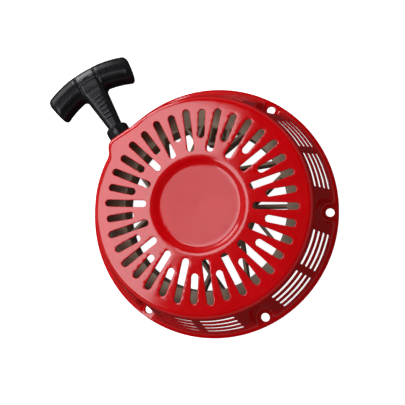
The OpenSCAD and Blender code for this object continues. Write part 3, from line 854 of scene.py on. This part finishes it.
def wire_tree():
    """Geometry nodes that sweep a round wire along a path of edges."""
    group = bpy.data.node_groups.new("wire", "GeometryNodeTree")
    group.interface.new_socket("Geometry", in_out="INPUT", socket_type="NodeSocketGeometry")
    group.interface.new_socket("Wire radius", in_out="INPUT", socket_type="NodeSocketFloat")
    group.interface.new_socket("Sides", in_out="INPUT", socket_type="NodeSocketInt")
    group.interface.new_socket("Finish", in_out="INPUT", socket_type="NodeSocketMaterial")
    group.interface.new_socket("Geometry", in_out="OUTPUT", socket_type="NodeSocketGeometry")
    given = group.nodes.new("NodeGroupInput")
    path = node(group, "GeometryNodeMeshToCurve", Mesh=given.outputs["Geometry"])
    section = node(group, "GeometryNodeCurvePrimitiveCircle", Resolution=given.outputs["Sides"],
                   Radius=given.outputs["Wire radius"])
    swept = node(group, "GeometryNodeCurveToMesh", Curve=path.outputs["Curve"],
                 Profile_Curve=section.outputs["Curve"], Fill_Caps=True)
    real = node(group, "GeometryNodeRealizeInstances", Geometry=swept.outputs["Mesh"])
    smooth = node(group, "GeometryNodeSetShadeSmooth", Geometry=real.outputs["Geometry"])
    painted = node(group, "GeometryNodeSetMaterial", Geometry=smooth.outputs["Geometry"],
                   Material=given.outputs["Finish"])
    group.links.new(painted.outputs["Geometry"], group.nodes.new("NodeGroupOutput").inputs["Geometry"])
    return group


WIRE = wire_tree()


def give(modifier, **values):
    """Sets a geometry nodes modifier's inputs by their names in the tree."""
    for item in modifier.node_group.interface.items_tree:
        if item.in_out == "INPUT" and item.name.replace(" ", "_") in values:
            modifier[item.identifier] = values[item.name.replace(" ", "_")]


def wire(name, path, radius, material):
    mesh = bpy.data.meshes.new(name)
    steps = [(k, k + 1) for k in range(len(path) - 1)]
    mesh.from_pydata((np.array(path) * MM).tolist(), steps, [])
    made = add_object(name, mesh, material)
    sweep = made.modifiers.new("wire", "NODES")
    sweep.node_group = WIRE
    give(sweep, Wire_radius=radius * MM, Sides=10, Finish=material)
    made.data = finished_mesh(made)
    made.modifiers.clear()
    return made


def turned_points(points, angle, shift):
    """Points moved by shift, then turned about the reel's axis."""
    x, y, z = (np.array(points, float) + np.array(shift)).T
    c, s = math.cos(angle), math.sin(angle)
    return np.stack([x * c - y * s, x * s + y * c, z], 1)


for tag, turn in (("a", 45), ("b", 225)):
    w = np.linspace(0, 5 * math.pi, 140)
    coil = np.stack([SPRING_R * np.cos(w), SPRING_R * np.sin(w),
                     SPRING_Z + SPRING_RISE * w / w[-1]], 1)
    low_leg = [(SPRING_R, -7, SPRING_Z), (SPRING_R, -3.5, SPRING_Z)]
    high_leg = [(-SPRING_R, -3.2, 15.25), (-SPRING_R, -6.5, 15.3)]
    path = turned_points(np.concatenate([low_leg, coil, high_leg]), math.radians(turn), (PIN_R, 0, 0))
    spring = wire("pawl_spring_" + tag + "_coil", path, 0.4, spring_steel)
    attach(spring, "reel_body")
    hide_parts("pawl_spring_" + tag)

# ---------------------------------------------------------------- cam plate and friction spring
# Pressed steel plate that turns on the centre screw, with two fingers that push the pawls out. The
# open ring of wire round its hub holds it back while the reel turns.

soften("ratchet_guide", 0.3, phosphate, "ratchet_body")
w = np.radians(np.linspace(40, 340, 90))
ring_path = np.stack([9.3 * np.cos(w), 9.3 * np.sin(w), np.full(len(w), 7.2)], 1)
friction_spring = wire("friction_spring_ring", ring_path, 0.7, spring_steel)
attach(friction_spring, "ratchet_body")
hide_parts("friction_spring")

# ---------------------------------------------------------------- grip
# T handle in black nylon: an arched bar on a tapering neck with a moulded ribbed front. Two grooves
# part its stippled arms from the saddle.

NECK_X0, NECK_X1 = 99.0, 144.0
BAR_R, BAR_X, BAR_HALF = 81.0, 72.6, 40.3
BAR_DEEP, BAR_THICK, BAR_POWER = 12.5, 10, 2.4
GROOVE_Y = 9.1
BORE_R = 2.8
KNOT_ROOM_R, KNOT_ROOM_X = 6.5, (146.4, 155.6)
TWIST, SWING = math.radians(9), math.radians(2)


def section_level(x, y, z):
    """How far a point is outside the arched bar, and its place along and across the bar."""
    across = np.hypot(x - BAR_X, y) - BAR_R
    along = BAR_R * np.arctan2(y, x - BAR_X)
    oval = (np.abs(across) / BAR_DEEP) ** BAR_POWER + (np.abs(z) / BAR_THICK) ** BAR_POWER
    oval = BAR_THICK * oval ** (1 / BAR_POWER) - BAR_THICK
    return smooth_max(oval, np.abs(along) + 0.3 * across - BAR_HALF - 0.7, 5), along, across


def saddle_level(p):
    x, y, z = p.T
    bar, _, across = section_level(x, y, z)
    return smooth_max(smooth_max(bar + 0.1, np.abs(y) - GROOVE_Y + 0.7, 0.8), 2.0 - across, 0.5)


def grip_level(p):
    x, y, z = p.T
    bar, _, across = section_level(x, y, z)
    beyond = np.clip((np.abs(y) - GROOVE_Y) / 0.8, 0, 1)
    crest = np.clip((11 - across) / 5, 0, 1)
    groove = 1.6 * np.exp(-((np.abs(y) - GROOVE_Y) / 0.9) ** 2)
    bar = bar + crest * (0.45 * beyond * beyond * (3 - 2 * beyond) + groove)
    grow = np.clip((x - NECK_X0) / (NECK_X1 - NECK_X0), 0, 1)
    ribs = 0.35 * np.clip(2.2 * np.cos(2 * math.pi * (x - 113) / 4.2) - 0.9, 0, 1)
    ribs *= (np.clip(4.0 - np.abs(y), 0, 1) * np.clip(x - 111.5, 0, 1) *
             np.clip(137.5 - x, 0, 1) * (z > 0))
    half_y = np.abs(y) - (5.6 + 5.0 * grow)
    half_z = np.abs(z) - (5.4 + 3.2 * grow) - ribs
    bevel = (half_y + half_z + 2.6) * 0.7071
    neck = smooth_max(smooth_max(half_y, half_z, 1.2), bevel, 1.2)
    neck = smooth_max(smooth_max(neck, NECK_X0 - x, 0.8), x - 150, 1)
    whole = smooth_min(bar, neck, 3.5)
    core = np.hypot(y, z)
    whole = np.where(x < 147, np.maximum(whole, BORE_R - core), whole)
    room = np.maximum(np.maximum(core - KNOT_ROOM_R, KNOT_ROOM_X[0] - x), x - KNOT_ROOM_X[1])
    whole = np.maximum(whole, -room)
    seat = np.maximum(np.abs(y) - GROOVE_Y + 0.6, 1.9 - across)
    return np.maximum(whole, -seat)


def slope_of(level, p, h=0.05):
    """The gradient of a level function, by central differences."""
    shifts = np.eye(3) * h
    return np.stack([(level(p + d) - level(p - d)) / (2 * h) for d in shifts], 1)


def settle(level, p, rounds, limit):
    """Moves points onto the surface where the level is zero."""
    for _ in range(rounds):
        slope = slope_of(level, p)
        move = level(p)[:, None] * slope / np.maximum((slope ** 2).sum(1), 0.2)[:, None]
        p = p - np.clip(move, -limit, limit)
    return p


def surface_net(level, low, high, step):
    """The closed surface where the level is zero, as a net of small quads."""
    axes = [np.arange(a, b, step) for a, b in zip(low, high)]
    grid = np.stack(np.meshgrid(*axes, indexing="ij"), -1)
    solid = level(grid.reshape(-1, 3)).reshape(grid.shape[:3]) < 0
    nx, ny, nz = (n - 1 for n in solid.shape)
    count = sum(solid[a:nx + a, b:ny + b, c:nz + c].astype(int)
                for a in (0, 1) for b in (0, 1) for c in (0, 1))
    cells = (count > 0) & (count < 8)
    number = np.full(cells.shape, -1)
    number[cells] = np.arange(cells.sum())
    p = settle(level, grid[:-1, :-1, :-1][cells] + step / 2, 4, step * 0.45)
    quads = []
    for axis in range(3):
        u, v = (axis + 1) % 3, (axis + 2) % 3
        edge = np.diff(solid.astype(int), axis=axis)
        at = np.argwhere(edge != 0)
        sign = edge[tuple(at.T)]
        corners = []
        for du, dv in ((0, 0), (1, 0), (1, 1), (0, 1)):
            spot = at.copy()
            spot[:, u] -= du
            spot[:, v] -= dv
            corners.append(number[tuple(spot.T)])
        quad = np.stack(corners, 1)
        quad[sign > 0] = quad[sign > 0][:, ::-1]
        quads.append(quad)
    return p, np.concatenate(quads)


def from_grip(p):
    """Points of the grip's own frame, with x along the pull, in the part's frame."""
    c, s = math.cos(TWIST), math.sin(TWIST)
    y, z = p[:, 1] * c - p[:, 2] * s, p[:, 1] * s + p[:, 2] * c
    c, s = math.cos(SWING), math.sin(SWING)
    out = p[:, 0] - NECK_X0
    x, y = NECK_X0 + out * c - y * s, out * s + y * c
    return from_pull3(np.stack([x, y + ROPE_Y, z + ROPE_Z], 1))


def moulded(name, level, low, high, step, material):
    """A moulding from its level function, meshed within a box of the grip's frame."""
    p, quads = surface_net(level, low, high, step)
    mesh = bpy.data.meshes.new(name)
    mesh.from_pydata((from_grip(p) * MM).tolist(), [], quads.tolist())
    face_outwards(mesh)
    mesh.shade_smooth()
    mesh.set_sharp_from_angle(angle=math.radians(60))
    return add_object(name, mesh, material)


grip = moulded("grip_moulding", grip_level, (97, -48, -12), (168, 48, 12), 0.5, black)
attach(grip, "grip_body")
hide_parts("grip")


def bumps_tree():
    """Geometry nodes that set a small round bump on every point of a mesh."""
    group = bpy.data.node_groups.new("bumps", "GeometryNodeTree")
    group.interface.new_socket("Geometry", in_out="INPUT", socket_type="NodeSocketGeometry")
    group.interface.new_socket("Bump radius", in_out="INPUT", socket_type="NodeSocketFloat")
    group.interface.new_socket("Finish", in_out="INPUT", socket_type="NodeSocketMaterial")
    group.interface.new_socket("Geometry", in_out="OUTPUT", socket_type="NodeSocketGeometry")
    given = group.nodes.new("NodeGroupInput")
    spots = node(group, "GeometryNodeMeshToPoints", Mesh=given.outputs["Geometry"])
    ball = node(group, "GeometryNodeMeshIcoSphere", Radius=given.outputs["Bump radius"], Subdivisions=2)
    placed = node(group, "GeometryNodeInstanceOnPoints", Points=spots.outputs["Points"],
                  Instance=ball.outputs["Mesh"])
    real = node(group, "GeometryNodeRealizeInstances", Geometry=placed.outputs["Instances"])
    smooth = node(group, "GeometryNodeSetShadeSmooth", Geometry=real.outputs["Geometry"])
    painted = node(group, "GeometryNodeSetMaterial", Geometry=smooth.outputs["Geometry"],
                   Material=given.outputs["Finish"])
    group.links.new(painted.outputs["Geometry"], group.nodes.new("NodeGroupOutput").inputs["Geometry"])
    return group


spots = []
for arm in (1, -1):
    for face in (1, -1):
        for row, across in enumerate(np.arange(-6.0, 10.6, 1.5)):
            for along in np.arange(12.2, 35.5, 1.5) + 0.75 * (row % 2):
                w = arm * along / BAR_R
                side = (1 - (abs(across) / BAR_DEEP) ** BAR_POWER) ** (1 / BAR_POWER)
                spots.append((BAR_X + (BAR_R + across) * math.cos(w),
                              (BAR_R + across) * math.sin(w), face * 9.4 * side))
spots = settle(grip_level, np.array(spots), 4, 0.5)
stipple_mesh = bpy.data.meshes.new("grip_stipple")
stipple_mesh.from_pydata((from_grip(spots) * MM).tolist(), [], [])
stipple = add_object("grip_stipple", stipple_mesh, black)
raised = stipple.modifiers.new("bumps", "NODES")
raised.node_group = bumps_tree()
give(raised, Bump_radius=0.56 * MM, Finish=black)
stipple.data = finished_mesh(stipple)
stipple.modifiers.clear()
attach(stipple, "grip_body")

# ---------------------------------------------------------------- grip's saddle
# The smooth satin piece let into the middle of the bar. It closes the pocket of the rope's knot.

satin, tree, shader, place = new_material("satin_nylon", (0.022, 0.023, 0.024), 0.36)
shader.inputs["Specular IOR Level"].default_value = 0.7
grain = noise(tree, place, 1300, 3, 0.5)
tree.links.new(mix_colour(tree, spread(tree, noise(tree, place, 110, 4), 0, 1),
                          (0.018, 0.019, 0.020), (0.030, 0.031, 0.032)), shader.inputs["Base Color"])
tree.links.new(spread(tree, grain, 0.32, 0.42), shader.inputs["Roughness"])
bump(tree, shader, grain, 0.00001, 0.5)
saddle = moulded("grip_saddle", saddle_level, (150, -11, -12), (168, 11, 12), 0.4, satin)
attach(saddle, "grip_body")
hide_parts("grip_cap")

# ---------------------------------------------------------------- rope's outer end
# The rope runs up the neck's bore, through a steel washer, to an overhand knot in the grip's pocket.
# Its pulled length is a short tube at the guide's mouth, its rings packed close and its braid laid out
# along the whole pulled length.

PULL_LENGTH = 1003
DRAWN_X = (98.3, 101.3)

soften("grip_washer", 0.15, zinc, "grip_body")
heart = from_grip(np.array([[151.6, 0.0, 0.0]]))[0]
rope_piece(braided_tube("grip_knot_tied", knot_path(heart, 2.3), 8, rope, 1.5),
           "grip_body", "grip_knot")
run = np.linspace(NECK_X0 + 2.2, 147.6, 70)
straight = np.stack([run, np.zeros(len(run)), np.zeros(len(run))], 1)
rope_piece(braided_tube("rope_in_neck", from_grip(straight), 12, rope, 2.45),
           "grip_body", "rope_lead")

rings = np.linspace(*DRAWN_X, 420)
share = (rings - DRAWN_X[0]) / (DRAWN_X[1] - DRAWN_X[0])
pulled = share * share * (3 - 2 * share) * PULL_LENGTH
line = from_pull3(np.stack([rings, np.full(len(rings), ROPE_Y), np.full(len(rings), ROPE_Z)], 1))
drawn = braided_tube("rope_drawn_out", line, 12, rope, 2.4, lengths=pulled + rings)
start, end = (from_pull3([(x, ROPE_Y, ROPE_Z)])[0] * MM for x in DRAWN_X)
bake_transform(drawn)
